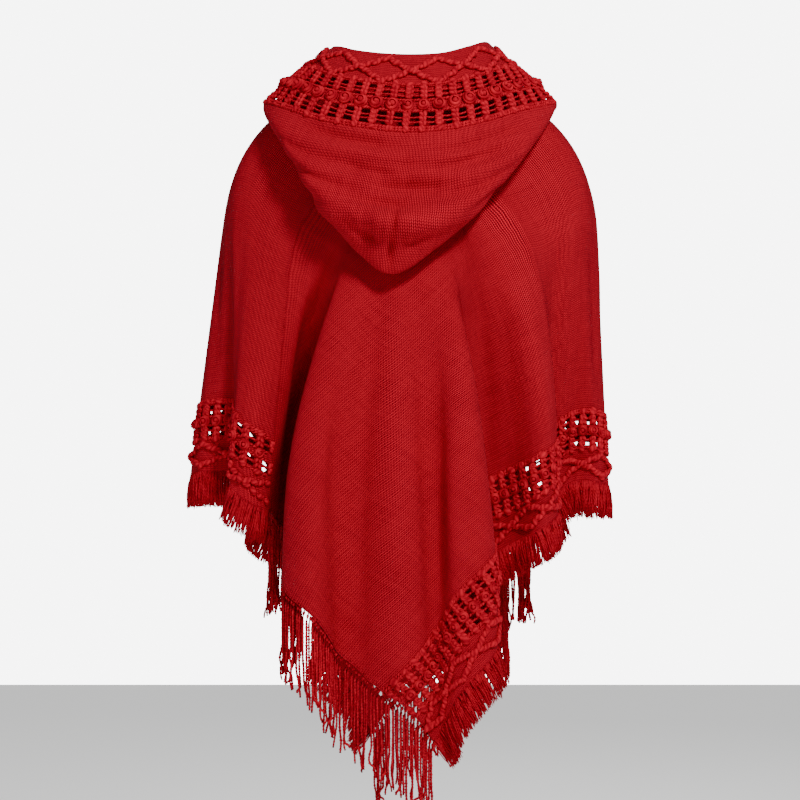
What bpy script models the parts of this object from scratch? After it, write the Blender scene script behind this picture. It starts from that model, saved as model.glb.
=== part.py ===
"""Hooded poncho of two knitted rectangles, worn, with its hood let down on the back.

Metres. +Z is up, the wearer faces +Y, and +X is the wearer's right. The origin is the middle of
the neck's base. Each rectangle has one short end sewn to its twin's long side. The other short
end carries the long fringe, and the outer long side carries the openwork and the short fringe.
"""

import math

import bmesh
import bpy
import numpy as np
from mathutils.bvhtree import BVHTree
from mathutils.geometry import delaunay_2d_cdt

# The cut of one rectangle, and the wall of its cloth.
WIDTH = 0.56
LENGTH = 0.88
NECK_EDGE = LENGTH - WIDTH
ROUND = WIDTH + LENGTH
WALL = 0.002
SEAM_INSET = 0.0002
STRIP_GAP = 0.0007
SEAM_GAP = 0.0003

# The neck opening, and how the wearer stands.
NECK_HALF_X = 0.115
NECK_HALF_Y = 0.090
NECK_CORNER_Z = -0.062
NECK_SIDE_Z = -0.012
FORWARD_TILT = 0.13
ROLL = 0.022
SWAY_AT_NECK = 0.006
SWAY = 0.036
SWAY_DEPTH = 0.50

# Openwork along the outer long side: distances from the hem, inwards.
COLUMNS = 54
COLUMN = LENGTH / COLUMNS
GAP_WIDTH = 0.0082
ROW_SPANS = ((0.046, 0.059), (0.073, 0.086))
BOBBLE_AT = 0.066
BOBBLE_RISE = 0.0042
DIAMONDS = (0.009, 0.036)
CABLE_RISE = 0.0034
BAND_TOP = 0.092

# The same band along the hood's face edge.
HOOD_HALF = 0.34
HOOD_COLUMNS = 24
HOOD_COLUMN = HOOD_HALF / HOOD_COLUMNS
HOOD_GAP_WIDTH = 0.0082
HOOD_ROW_SPANS = ((0.049, 0.067), (0.086, 0.105))
HOOD_BOBBLE_AT = 0.0765
HOOD_BOBBLE_RISE = 0.0046
HOOD_DIAMONDS = (0.008, 0.044)
HOOD_BAND_TOP = 0.113
HOOD_CLEARANCE = 0.0055
HOOD_LIFT = 0.018
NAPE_STAND = 0.052
NAPE_SPREAD = 0.30
LEAST_LEVEL = 0.0045

# Fringes: cloth strip, then one strand for each share of the edge.
STRIP_WIDTH = 0.004
STRIP_WALL = 0.0014
STRIP_SUNK = 0.0003
LONG_STRANDS = 46
LONG_FRINGE = 0.108
LONG_STRAND = 0.0026
SHORT_FRINGE = 0.034
SHORT_STRAND = 0.0062

KNIT_RED = (0.42, 0.008, 0.012, 1)

# Where each fold of the hem hangs: share of the edge, x, y. The free end runs from the back
# seam to the back corner.
END_FOLDS = (
    (0.000, -0.166, -0.085),
    (0.160, -0.166, -0.018),
    (0.205, -0.152, 0.000),
    (0.250, -0.137, -0.018),
    (0.340, -0.128, -0.066),
    (0.515, -0.143, -0.148),
    (0.600, -0.108, -0.170),
    (0.685, -0.082, -0.159),
    (0.735, -0.066, -0.144),
    (0.775, -0.050, -0.142),
    (0.815, -0.034, -0.153),
    (0.860, -0.010, -0.168),
    (0.935, 0.022, -0.172),
)
# The outer long side runs on from the back corner, round the arm, to the front seam.
SIDE_FOLDS = (
    (0.000, 0.040, -0.162),
    (0.110, 0.080, -0.184),
    (0.160, 0.110, -0.179),
    (0.192, 0.119, -0.163),
    (0.232, 0.110, -0.144),
    (0.330, 0.062, -0.108),
    (0.475, 0.116, -0.066),
    (0.525, 0.146, -0.072),
    (0.570, 0.172, -0.090),
    (0.635, 0.200, -0.064),
    (0.680, 0.192, -0.024),
    (0.720, 0.218, -0.010),
    (0.765, 0.252, -0.014),
    (0.810, 0.272, 0.012),
    (0.848, 0.258, 0.044),
    (0.880, 0.228, 0.052),
    (0.900, 0.211, 0.060),
    (0.920, 0.212, 0.078),
    (0.944, 0.214, 0.098),
    (0.966, 0.197, 0.108),
    (0.986, 0.178, 0.100),
)
# Where the cloth leaves the shoulders: share of the way round the hem, x, y.
SHOULDER = (
    (0.000, -0.146, -0.100),
    (0.194, -0.068, -0.122),
    (0.389, 0.000, -0.128),
    (0.583, 0.068, -0.122),
    (0.778, 0.146, -0.100),
    (0.833, 0.222, -0.048),
    (0.889, 0.240, 0.000),
    (0.944, 0.222, 0.048),
)
SHOULDER_RUN = 0.20
SHOULDER_ROUNDING = 0.06
FOLD_EASE = 2.2
FOLD_START = 0.15

# The hood: share of the way from the nape to the front corner (left is negative), the fold's
# x, y, z, the face edge's x, y, z, and how far the pouch between its two layers swells.
HOOD = (
    (-0.97, -0.013, 0.098, -0.058, -0.012, 0.098, -0.046, 0.0005),
    (-0.88, -0.058, 0.108, -0.060, -0.040, 0.092, -0.030, 0.003),
    (-0.72, -0.122, 0.082, -0.054, -0.082, 0.066, 0.002, 0.006),
    (-0.57, -0.165, 0.030, -0.040, -0.100, 0.026, 0.030, 0.008),
    (-0.44, -0.184, -0.040, -0.046, -0.102, -0.018, 0.044, 0.010),
    (-0.33, -0.163, -0.098, -0.086, -0.091, -0.060, 0.040, 0.012),
    (-0.22, -0.126, -0.133, -0.151, -0.068, -0.084, 0.031, 0.015),
    (-0.11, -0.080, -0.148, -0.211, -0.034, -0.096, 0.025, 0.018),
    (0.00, -0.026, -0.154, -0.256, 0.004, -0.100, 0.023, 0.018),
    (0.11, 0.034, -0.149, -0.222, 0.041, -0.095, 0.026, 0.018),
    (0.22, 0.092, -0.136, -0.168, 0.074, -0.079, 0.037, 0.015),
    (0.33, 0.144, -0.106, -0.104, 0.096, -0.052, 0.047, 0.012),
    (0.44, 0.181, -0.042, -0.046, 0.106, -0.010, 0.046, 0.010),
    (0.57, 0.166, 0.030, -0.042, 0.101, 0.032, 0.026, 0.008),
    (0.72, 0.122, 0.082, -0.056, 0.080, 0.068, -0.001, 0.006),
    (0.88, 0.058, 0.108, -0.062, 0.038, 0.092, -0.032, 0.003),
    (0.97, 0.013, 0.098, -0.059, 0.012, 0.098, -0.047, 0.0005),
)
HOOD_END = 0.97


def cubic(rows, at):
    """Smooth curve through the rows, whose first column says where each one is."""
    places, points = rows[:, 0], rows[:, 1:]
    step = np.diff(places)
    chord = np.diff(points, axis=0) / step[:, None]
    slope = np.empty_like(points)
    share = (step[1:] / (step[1:] + step[:-1]))[:, None]
    slope[1:-1] = chord[:-1] * share + chord[1:] * (1 - share)
    slope[0], slope[-1] = chord[0], chord[-1]
    k = np.clip(np.searchsorted(places, at, side="right") - 1, 0, len(step) - 1)
    h = step[k][:, None]
    t = ((at - places[k]) / step[k])[:, None]
    return (
        (2 * t**3 - 3 * t**2 + 1) * points[k]
        + (t**3 - 2 * t**2 + t) * h * slope[k]
        + (3 * t**2 - 2 * t**3) * points[k + 1]
        + (t**3 - t**2) * h * slope[k + 1]
    )


def repeated(table):
    """The rows of one rectangle, with its twin's, half a turn away, before and after."""
    turned = table * (1, -1, -1)
    return np.concatenate([turned - (ROUND, 0, 0), table, turned + (ROUND, 0, 0)])


HEM_ROWS = repeated(
    np.concatenate(
        [np.array(END_FOLDS) * (WIDTH, 1, 1), np.array(SIDE_FOLDS) * (LENGTH, 1, 1) + (WIDTH, 0, 0)]
    )
)
SHOULDER_ROWS = repeated(np.array(SHOULDER) * (ROUND, 1, 1))
HOOD_ROWS = np.array(HOOD)


def smooth(t):
    t = np.clip(t, 0, 1)
    return t * t * (3 - 2 * t)


def unit(vectors):
    return vectors / np.maximum(np.linalg.norm(vectors, axis=1), 1e-12)[:, None]


def stand(points):
    """The garment's own upright shape, tilted and swayed as its wearer stands."""
    x, y, z = points.T
    z = z - FORWARD_TILT * y - ROLL * x
    x = x + SWAY_AT_NECK + SWAY * np.maximum(z, -SWAY_DEPTH)
    return np.stack([x, y, z], 1)


def neck_ring(turn):
    """The neck opening: turn is 0 at the nape and pi at the front corner."""
    side = np.abs(np.sin(turn))
    z = NECK_CORNER_Z + (NECK_SIDE_Z - NECK_CORNER_Z) * side
    return np.stack([NECK_HALF_X * np.sin(turn), -NECK_HALF_Y * np.cos(turn), z], 1)


def neck_turn(around):
    return np.clip((around - 2 * WIDTH) / NECK_EDGE, 0, 1) * math.pi


def run_to_hem(around):
    side = np.clip(2 * WIDTH - around, 0, None)
    return np.hypot(WIDTH, np.where(around < WIDTH, around, side))


def plan_of(around, run):
    """Where a line down the cloth is, seen from above."""
    neck = neck_ring(neck_turn(around))[:, :2]
    shoulder = cubic(SHOULDER_ROWS, around)
    hem = cubic(HEM_ROWS, around)
    over_arm = smooth(1.6 * (1 - np.abs((around - 2 * WIDTH) / NECK_EDGE * 2 - 1)))
    t = np.clip(run / SHOULDER_RUN, 0, 1)
    out = (1 - over_arm) * t + over_arm * (1 - (1 - t) ** 1.6)
    down = np.clip((run - SHOULDER_RUN) / (run_to_hem(around) - SHOULDER_RUN), 0, 1.3)
    early = smooth(np.minimum(around, ROUND - around) / FOLD_START) * (1 - over_arm)
    down = down + early * (1 - (1 - np.minimum(down, 1)) ** FOLD_EASE - down)
    return neck + (shoulder - neck) * out[:, None] + (hem - shoulder) * down[:, None]


def rounded_plan(around, run):
    reach = np.minimum(SHOULDER_ROUNDING, np.abs(run))
    weights = ((-1, 1), (-0.5, 2), (0, 3), (0.5, 2), (1, 1))
    return sum(w * plan_of(around, run + k * reach) for k, w in weights) / 9


def around_and_run(x, y):
    """For a place on the flat cloth: which line down from the neck it is on, and how far along."""
    fan = x < WIDTH
    out = WIDTH - x
    to_side = np.where(fan, y >= out, True)
    side = np.where(fan, 2 * WIDTH - out * WIDTH / np.maximum(y, 1e-9), WIDTH + x)
    end = y * WIDTH / np.maximum(out, 1e-9)
    around = np.clip(np.where(to_side, side, end), 0, ROUND)
    return around, np.where(fan, np.hypot(out, y), y)


def drape(x, y, left, steps=36):
    """Flat cloth to space. Each line down keeps its length: what it doesn't go out, it drops."""
    around, run = around_and_run(x, y)
    z = neck_ring(neck_turn(around))[:, 2]
    before = rounded_plan(around, 0 * run)
    for k in range(1, steps + 1):
        here = rounded_plan(around, run * k / steps)
        step = (run / steps) ** 2
        z = z - np.sqrt(np.maximum(step - ((here - before) ** 2).sum(1), 0.03 * step))
        before = here
    points = np.column_stack([before, z])
    return stand(points * (-1, -1, 1) if left else points)


def slopes(x, y, left, reach=0.003):
    x_low, x_high = x - reach, np.minimum(x + reach, LENGTH)
    y_low, y_high = np.maximum(y - reach, 0), y + reach
    along = drape(x_high, y, left) - drape(x_low, y, left)
    down = drape(x, y_high, left) - drape(x, y_low, left)
    return unit(along), unit(down)


def outward(x, y, left):
    """The way the right side faces, shared by both rectangles where they are sewn."""
    along, down = slopes(x, y, left)
    facing = unit(np.cross(down, along))
    inner_seam = (y < 0.001) & (x < WIDTH)
    end_seam = x > LENGTH - 0.001
    for seam, twin_x, twin_y in ((inner_seam, LENGTH + 0 * x, WIDTH - x), (end_seam, WIDTH - y, 0 * y)):
        if seam.any():
            along, down = slopes(twin_x[seam], np.clip(twin_y[seam], 0, WIDTH), not left)
            facing[seam] = unit(facing[seam] + unit(np.cross(down, along)))
    return facing


def triangles(points, edges, holes, cut_edges):
    """Triangles over flat points, inside the outline and outside the holes."""
    flat = [(float(u) * 1000, float(v) * 1000) for u, v in points]
    _, _, faces, origin, _, _ = delaunay_2d_cdt(flat, edges + cut_edges, [], 1, 1e-4)
    corners = np.array([[origin[v][0] for v in face] for face in faces])
    middles = np.asarray(points)[corners].mean(axis=1)
    keep = np.ones(len(corners), bool)
    for low_u, high_u, low_v, high_v in holes:
        keep &= ~(
            (middles[:, 0] > low_u)
            & (middles[:, 0] < high_u)
            & (middles[:, 1] > low_v)
            & (middles[:, 1] < high_v)
        )
    return corners[keep]


def add_node(name, vertices, faces):
    mesh = bpy.data.meshes.new(name)
    mesh.from_pydata([tuple(v) for v in vertices], [], [tuple(int(i) for i in f) for f in faces])
    shape = bmesh.new()
    shape.from_mesh(mesh)
    bmesh.ops.recalc_face_normals(shape, faces=shape.faces)
    if shape.calc_volume(signed=True) < 0:
        bmesh.ops.reverse_faces(shape, faces=shape.faces)
    shape.to_mesh(mesh)
    shape.free()
    material = bpy.data.materials.new(name)
    material.use_nodes = True
    shader = material.node_tree.nodes["Principled BSDF"]
    shader.inputs["Base Color"].default_value = KNIT_RED
    shader.inputs["Roughness"].default_value = 0.9
    mesh.materials.append(material)
    bpy.context.scene.collection.objects.link(bpy.data.objects.new(name, mesh))


def wall_node(name, pattern, place, face):
    """Closed wall over a flat pattern: raised points outside, a plain inside WALL further in."""
    points, rises, numbers, edges = [], [], {}, []

    def number(u, v, rise=0.0):
        key = (round(u, 5), round(v, 5))
        if key not in numbers:
            numbers[key] = len(points)
            points.append((u, v))
            rises.append(rise)
        return numbers[key]

    loops = [[number(u, v) for u, v in pattern["outline"]]]
    for low_u, high_u, low_v, high_v in pattern["holes"]:
        corners = ((low_u, low_v), (high_u, low_v), (high_u, high_v), (low_u, high_v))
        loops.append([number(u, v) for u, v in corners])
    for loop in loops:
        edges += list(zip(loop, loop[1:] + loop[:1]))
    for u, v, rise in pattern["points"]:
        number(u, v, rise)
    creases = [(number(*a), number(*b)) for a, b in pattern["creases"]]
    outer = triangles(points, edges, pattern["holes"], creases)
    u, v = np.array(points).T
    surface, facing = place(u, v), face(u, v)
    vertices = [surface + facing * np.array(rises)[:, None], surface - facing * WALL]
    behind = len(points)
    faces = [tuple(f) for f in outer] + [tuple(f[::-1] + behind) for f in outer]
    faces += [(b, a, a + behind, b + behind) for a, b in edges]
    add_node(name, np.concatenate(vertices), faces)


def cells(count, column, gap_width, spans, hem):
    """The openwork's gaps, as (low u, high u, low v, high v)."""
    found = []
    for k in range(count):
        middle = (k + 0.5) * column
        for near, far in spans:
            low, high = sorted((hem(near), hem(far)))
            found.append((middle - gap_width / 2, middle + gap_width / 2, low, high))
    return found


def cables(count, column, span, hem):
    """Two crossing zigzag cables: raised points, plain ones between, and the cables' lines."""
    points, lines = [], []
    quarter = (span[1] - span[0]) / 4
    middle = (span[0] + span[1]) / 2

    def at(k, side):
        offset = 2 - abs(k % 4 - 2)
        return (k * column, hem(middle + side * offset * quarter))

    for k in range(1, count):
        if k % 4:
            points += [(*at(k, -1), CABLE_RISE), (*at(k, 1), CABLE_RISE), (k * column, hem(middle), 0.0)]
        else:
            points += [(*at(k, 1), CABLE_RISE)]
            points += [(k * column, hem(edge), 0.0) for edge in span]
        if k > 1:
            lines += [(at(k - 1, side), at(k, side)) for side in (-1, 1)]
    return points, lines


PANEL_LINES = (
    *np.linspace(0.02, 0.98, 21) * WIDTH,
    *np.linspace(1.02, 1.96, 16) * WIDTH,
    *(2 * WIDTH + np.linspace(0.02, 0.97, 15) * NECK_EDGE),
)
FAN_RINGS = (0.07, 0.15, 0.25, 0.36, 0.48, 0.61, 0.74, 0.87, 0.96)
ARM_RINGS = (0.05, 0.11, 0.17, 0.24, 0.32, 0.42, 0.54, 0.68)
NECK_SHARES = (0.0, *(np.arange(1, 12) / 12), HOOD_END, 1.0)
SEAM_SAMPLES = 24


def panel_pattern():
    inset = SEAM_INSET
    seam = np.linspace(0, 1, SEAM_SAMPLES + 1)
    outline = [(k * COLUMN, WIDTH) for k in range(COLUMNS)] + [(LENGTH - inset, WIDTH)]
    outline += [(LENGTH - inset, WIDTH * (1 - t)) for t in seam[1:-1]] + [(LENGTH - inset, inset)]
    outline += [(WIDTH + NECK_EDGE * t, inset) for t in NECK_SHARES[-2::-1]]
    outline += [(WIDTH * (1 - t), inset) for t in seam[1:-1]] + [(0.0, inset)]
    outline += [(0.0, WIDTH * k / LONG_STRANDS) for k in range(1, LONG_STRANDS)]

    def hem(away):
        return WIDTH - away

    points, creases = [], []
    for line, around in enumerate(PANEL_LINES):
        last = None
        for ring, share in enumerate(FAN_RINGS if around < 2 * WIDTH else ARM_RINGS):
            if around < WIDTH:
                spot = (WIDTH * (1 - share), around * share)
            elif around < 2 * WIDTH:
                spot = (WIDTH + (around - 2 * WIDTH) * share, WIDTH * share)
            else:
                spot = (around - WIDTH, WIDTH * share)
            in_fan = around < 2 * WIDTH
            crowded = in_fan and ((ring < 1 and line % 4) or (ring < 3 and line % 2))
            if crowded or spot[1] > hem(BAND_TOP):
                continue
            points.append((*spot, 0.0))
            if last is not None:
                creases.append((last, spot))
            last = spot
    raised, cable_lines = cables(COLUMNS, COLUMN, DIAMONDS, hem)
    bobbles = [(k * COLUMN, hem(BOBBLE_AT), BOBBLE_RISE) for k in range(1, COLUMNS)]
    return {
        "outline": outline,
        "holes": cells(COLUMNS, COLUMN, GAP_WIDTH, ROW_SPANS, hem),
        "points": points + raised + bobbles,
        "creases": creases + cable_lines,
    }


def cover_of_panels():
    """Both rectangles' right sides, for the hood to lie on."""
    u, v = np.meshgrid(np.linspace(0, LENGTH, 80), np.linspace(0, WIDTH, 52), indexing="ij")
    vertices, faces = [], []
    for left in (False, True):
        first = len(vertices)
        vertices += drape(u.ravel(), v.ravel(), left, 24).tolist()
        for i in range(79):
            for j in range(51):
                a = first + i * 52 + j
                faces.append((a, a + 1, a + 53, a + 52))
    return BVHTree.FromPolygons(vertices, faces)


def hood_profiles(turn):
    """From the neck seam under the hood to its fold, and back over it to the face edge."""
    rows = cubic(HOOD_ROWS, turn)
    fold, face, pouch = rows[:, :3], rows[:, 3:6], rows[:, 6:7]
    neck = stand(neck_ring(turn * math.pi))
    out = np.stack([np.sin(np.pi * turn), -np.cos(np.pi * turn), 0 * turn], 1)
    up = np.array([0, 0, 1.0])
    neck = neck - out * SEAM_GAP + up * SEAM_GAP
    lift = np.minimum(HOOD_LIFT, 0.3 * np.linalg.norm(fold - neck, axis=1)[:, None])
    at_nape = np.exp(-((turn / NAPE_SPREAD) ** 2))[:, None]
    crest = neck + up * (lift + (NAPE_STAND - HOOD_LIFT) * at_nape)
    rise = crest - 0.45 * up * lift + 0.05 * out * lift
    over = crest - 0.35 * up * lift + 0.80 * out * lift
    crest = crest + 0.40 * out * lift
    under = neck + (fold - neck) * 0.42 + (0.5 * up + 0.35 * out) * lift
    low_in = neck + (fold - neck) * 0.85 - out * pouch * 0.15
    low_out = fold + (face - fold) * 0.10 + out * pouch * 1.25
    middle = fold + (face - fold) * 0.38 + out * pouch * 1.6
    high = fold + (face - fold) * 0.72 + out * pouch * 1.1
    return np.stack([neck, rise, crest, over, under, low_in, fold, low_out, middle, high, face], 1)


def hood_lengths(profiles):
    steps = np.linalg.norm(np.diff(profiles, axis=1), axis=2)
    return np.concatenate([np.zeros((len(steps), 1)), np.cumsum(steps, axis=1)], axis=1)


def on_profiles(turn, from_face):
    profiles = hood_profiles(turn)
    at = hood_lengths(profiles)
    found = np.empty((len(turn), 3))
    for k, (rows, places) in enumerate(zip(profiles, at)):
        found[k] = cubic(np.column_stack([places, rows]), np.array([places[-1] - from_face[k]]))[0]
    return found


def hood_turns():
    """Even steps along the band, as shares of the way round the neck."""
    turn = np.linspace(-HOOD_END, HOOD_END, 241)
    length = hood_lengths(hood_profiles(turn))[:, -1]
    ring = on_profiles(turn, np.minimum(HOOD_BOBBLE_AT, 0.6 * length))
    along = np.concatenate([[0], np.cumsum(np.linalg.norm(np.diff(ring, axis=0), axis=1))])
    middle = np.interp(0, turn, along)
    left, right = (along[along < middle] - middle) / middle, along[along >= middle] - middle
    return np.concatenate([left, right / right[-1]]) * HOOD_HALF, turn


class Hood:
    """The hood's surface over (distance along the face edge, distance in from it)."""

    def __init__(self, cover):
        self.cover = cover
        self.along, self.turn = hood_turns()

    def turn_at(self, u):
        return np.interp(u, self.along, self.turn)

    def length_at(self, u):
        return hood_lengths(hood_profiles(self.turn_at(u)))[:, -1]

    def place(self, u, v):
        turn = self.turn_at(u)
        length = hood_lengths(hood_profiles(turn))[:, -1]
        points = on_profiles(turn, v)
        clearance = HOOD_CLEARANCE * smooth((length - v - 0.001) / 0.02)
        for k, point in enumerate(points):
            spot, normal, _, _ = self.cover.find_nearest(point.tolist())
            spot, normal = np.array(spot), np.array(normal)
            short = clearance[k] - (point - spot) @ normal
            if short > 0:
                points[k] = point + normal * short
        return points

    def face(self, u, v):
        reach = 0.003
        length = self.length_at(u)
        u_low, u_high = np.maximum(u - reach, -HOOD_HALF), np.minimum(u + reach, HOOD_HALF)
        v_low, v_high = np.maximum(v - reach, 0), np.minimum(v + reach, length)
        along = self.place(u_high, v) - self.place(u_low, v)
        inward = self.place(u, v_high) - self.place(u, v_low)
        return unit(np.cross(inward, along))


def hood_pattern(hood, side):
    """One half of the hood. Side is 1 for the wearer's right, -1 for the left."""
    neck_at = np.interp(side * np.array(NECK_SHARES[1:-1]), hood.turn, hood.along)
    neck_at = np.concatenate([[side * SEAM_INSET], neck_at])
    between = (neck_at[:-1] + neck_at[1:]) / 2
    lines = np.sort(np.abs(np.concatenate([neck_at, between]))) * side
    columns = np.arange(1, HOOD_COLUMNS) * HOOD_COLUMN
    usable = int(np.sum(hood.length_at(side * (columns + 0.008)) > HOOD_BAND_TOP + 0.020))

    def hem(away):
        return away

    levels = []
    for u in lines:
        at = hood_lengths(hood_profiles(hood.turn_at(np.array([u]))))[0]
        folds = at[-1] - at[1:8]
        low = HOOD_BAND_TOP + 0.004 if abs(u) < (usable + 0.5) * HOOD_COLUMN else 0.004
        above = np.linspace(folds[-1], low, 5)[1:-1] if folds[-1] - low > 0.030 else []
        found, last = {}, at[-1]
        for k, v in enumerate((*folds, *above)):
            if v > low + 0.003 and last - v > LEAST_LEVEL:
                found[k] = (float(u), float(v))
                last = v
        levels.append(found)
    neck_length = hood.length_at(neck_at)
    outline = [(side * SEAM_INSET, 0.0)] + [(side * u, 0.0) for u in columns] + [(side * HOOD_HALF, 0.0)]
    outline += [(float(u), float(v)) for u, v in zip(neck_at[::-1], neck_length[::-1])]
    outline += list(levels[0].values())
    middle_rows = (HOOD_BAND_TOP, *HOOD_ROW_SPANS[1][::-1], HOOD_BOBBLE_AT, *HOOD_ROW_SPANS[0][::-1])
    outline += [(side * SEAM_INSET, v) for v in (*middle_rows, *HOOD_DIAMONDS[::-1])]

    points = [(*spot, 0.0) for found in levels[1:-1] for spot in found.values()]
    creases = []
    for before, here in zip(levels[:-2], levels[1:-1]):
        creases += [(before[k], here[k]) for k in here if k in before]
    for found in levels[1:-1]:
        spots = list(found.values())
        creases += list(zip(spots, spots[1:]))
    raised, cable_lines = cables(usable + 1, HOOD_COLUMN, HOOD_DIAMONDS, hem)
    raised += [(k * HOOD_COLUMN, HOOD_BOBBLE_AT, HOOD_BOBBLE_RISE) for k in range(1, usable + 1)]
    points += [(side * u, v, rise) for u, v, rise in raised]
    creases += [((side * a[0], a[1]), (side * b[0], b[1])) for a, b in cable_lines]
    holes = []
    for low, high, near, far in cells(usable, HOOD_COLUMN, HOOD_GAP_WIDTH, HOOD_ROW_SPANS, hem):
        holes.append((*sorted((side * low, side * high)), near, far))
    return {"outline": outline, "holes": holes, "points": points, "creases": creases}


def fringe_node(name, tops, top_facing, roots, root_facing, flow, width, length):
    """A strip along the cloth's edge, and a strand drawn out of it at each root.

    tops are the strip's upper corners on the right side of the cloth. Each root is the two lower
    corners of one strand there.
    """
    tops = tops - top_facing * STRIP_SUNK
    low, high = (root - root_facing * STRIP_SUNK for root in roots)
    count = len(low)
    wall = root_facing * STRIP_WALL
    tips = (low + high) / 2 + flow * length - wall / 2
    across = unit(high - low) * width * 0.25
    vertices = np.concatenate([
        tops, tops - top_facing * STRIP_WALL,
        low, high, high - wall, low - wall,
        tips - across + wall / 4, tips + across + wall / 4,
        tips + across - wall / 4, tips - across - wall / 4,
    ])
    inside = count + 1
    starts = 2 * inside + np.arange(8) * count
    faces = []
    for k in range(count):
        ring, tip = starts[:4] + k, starts[4:] + k
        faces.append((k, ring[0], ring[1], k + 1))
        faces.append((k + inside, k + 1 + inside, ring[2], ring[3]))
        faces.append((k, k + 1, k + 1 + inside, k + inside))
        faces += [(ring[c], tip[c], tip[(c + 1) % 4], ring[(c + 1) % 4]) for c in range(4)]
        faces.append(tuple(tip))
        if k:
            last = ring - 1
            faces.append((k, last[1], ring[0]))
            faces.append((k + inside, ring[3], last[2]))
            faces.append((last[1], last[2], ring[3], ring[0]))
    first, last = starts[:4], starts[:4] + count - 1
    faces.append((0, inside, first[3], first[0]))
    faces.append((count, last[1], last[2], count + inside))
    add_node(name, vertices, faces)


def long_fringe(name, left):
    pitch = WIDTH / LONG_STRANDS
    edge = np.arange(LONG_STRANDS + 1) * pitch
    edge[0] += SEAM_INSET
    middle = (np.arange(LONG_STRANDS) + 0.5) * pitch
    end = -STRIP_GAP - STRIP_WIDTH + 0 * middle
    along, _ = slopes(0 * edge, edge, left)
    tops = drape(0 * edge, edge, left) - along * STRIP_GAP
    roots = [drape(end, middle + half * LONG_STRAND, left) for half in (-0.5, 0.5)]
    flow = np.repeat([[0, 0, -1.0]], LONG_STRANDS, axis=0)
    fringe_node(
        name, tops, outward(0 * edge, edge, left), roots, outward(end, middle, left),
        flow, LONG_STRAND, LONG_FRINGE,
    )


def short_fringe(name, left):
    edge = np.arange(COLUMNS + 1) * COLUMN
    edge[-1] -= SEAM_INSET
    middle = (np.arange(COLUMNS) + 0.5) * COLUMN
    hem, end = WIDTH + 0 * edge, WIDTH + STRIP_GAP + STRIP_WIDTH + 0 * middle
    _, down = slopes(edge, hem, left)
    tops = drape(edge, hem, left) + down * STRIP_GAP
    roots = [drape(middle + half * SHORT_STRAND, end, left) for half in (-0.5, 0.5)]
    _, flow = slopes(middle, end, left)
    flow = unit(flow * 0.8 + np.array([0, 0, -0.5]))
    fringe_node(
        name, tops, outward(edge, hem, left), roots, outward(middle, end, left),
        flow, SHORT_STRAND, SHORT_FRINGE,
    )


for old in list(bpy.data.objects):
    bpy.data.objects.remove(old)

for side_name, is_left in (("right", False), ("left", True)):
    wall_node(
        f"panel_{side_name}",
        panel_pattern(),
        lambda x, y, turned=is_left: drape(x, y, turned),
        lambda x, y, turned=is_left: outward(x, y, turned),
    )

draped_hood = Hood(cover_of_panels())
for side_name, side_sign in (("right", 1), ("left", -1)):
    wall_node(
        f"hood_{side_name}", hood_pattern(draped_hood, side_sign), draped_hood.place, draped_hood.face
    )

long_fringe("fringe_long_back", False)
long_fringe("fringe_long_front", True)
short_fringe("fringe_short_right", False)
short_fringe("fringe_short_left", True)
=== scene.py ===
import math

import bpy
import numpy as np
from mathutils.bvhtree import BVHTree
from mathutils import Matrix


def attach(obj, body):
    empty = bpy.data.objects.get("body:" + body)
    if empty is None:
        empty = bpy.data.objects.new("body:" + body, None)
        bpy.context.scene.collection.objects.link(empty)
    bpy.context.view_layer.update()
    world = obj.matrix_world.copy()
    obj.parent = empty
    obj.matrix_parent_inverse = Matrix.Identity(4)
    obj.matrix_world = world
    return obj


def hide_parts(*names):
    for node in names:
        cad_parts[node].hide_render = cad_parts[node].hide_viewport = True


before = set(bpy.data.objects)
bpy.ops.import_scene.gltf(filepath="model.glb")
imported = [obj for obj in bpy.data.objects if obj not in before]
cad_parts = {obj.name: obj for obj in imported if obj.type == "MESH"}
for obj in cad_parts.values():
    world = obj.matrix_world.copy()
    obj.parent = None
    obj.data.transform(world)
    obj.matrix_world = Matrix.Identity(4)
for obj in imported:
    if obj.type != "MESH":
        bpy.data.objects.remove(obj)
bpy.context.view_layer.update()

print("frame loaded")

# The cut of one rectangle and how it hangs from the neck, as in the solids.
cut = {
    "width": 0.56, "length": 0.88, "neckEdge": 0.32, "wall": 0.002, "seamInset": 0.0002,
    "neckHalfX": 0.115, "neckHalfY": 0.090, "neckCornerZ": -0.062, "neckSideZ": -0.012,
    "forwardTilt": 0.13, "roll": 0.022, "swayAtNeck": 0.006, "sway": 0.036, "swayDepth": 0.50,
    "shoulderRun": 0.20, "shoulderRounding": 0.06, "foldEase": 2.2, "foldStart": 0.15,
    "sideSpan": 1.6, "sideEase": 1.6, "pastHem": 1.3, "leastDrop": 0.03, "steps": 36,
    "fieldLines": 80,
}
roundHem = cut["width"] + cut["length"]

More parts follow.
